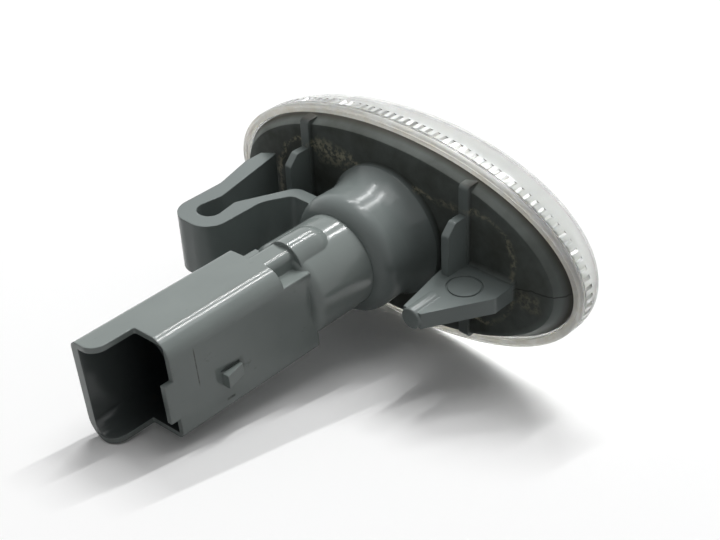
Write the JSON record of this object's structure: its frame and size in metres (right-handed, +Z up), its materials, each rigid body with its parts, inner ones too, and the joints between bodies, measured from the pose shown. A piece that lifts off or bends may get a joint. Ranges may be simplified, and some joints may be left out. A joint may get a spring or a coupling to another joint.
{
  "type": "side indicator lamp",
  "caption": "Oval side indicator lamp: clear domed lens on a moulded back plate with a spring clip, a locating tab and a neck, with a twist-in bulb holder that ends in a stepped plug socket.",
  "frame": {"origin": "centre of the oval, in the plane of the lens rim that closes on the wing panel", "axes": "X along the oval with the spring clip on the +X side, +Z up, the lens looks along -Y and the plug socket opens along +Y"},
  "size_m": [0.0874, 0.0905, 0.0434],
  "materials": {
    "clear_pmma": "clear, with a dusty rim",
    "grey_abs": "moulded, slightly scuffed and dusty",
    "grey_pbt": "moulded satin",
    "seal_rubber": "matte",
    "amber_glass": "gloss",
    "terminal_brass": "stamped"
  },
  "bodies": {
    "root": {"lens": "clear_pmma", "housing": "grey_abs", "bulb_holder": "grey_pbt", "seal_ring": "seal_rubber", "bulb": "amber_glass", "terminal_upper": "terminal_brass", "terminal_lower": "terminal_brass"}
  },
  "joints": []
}
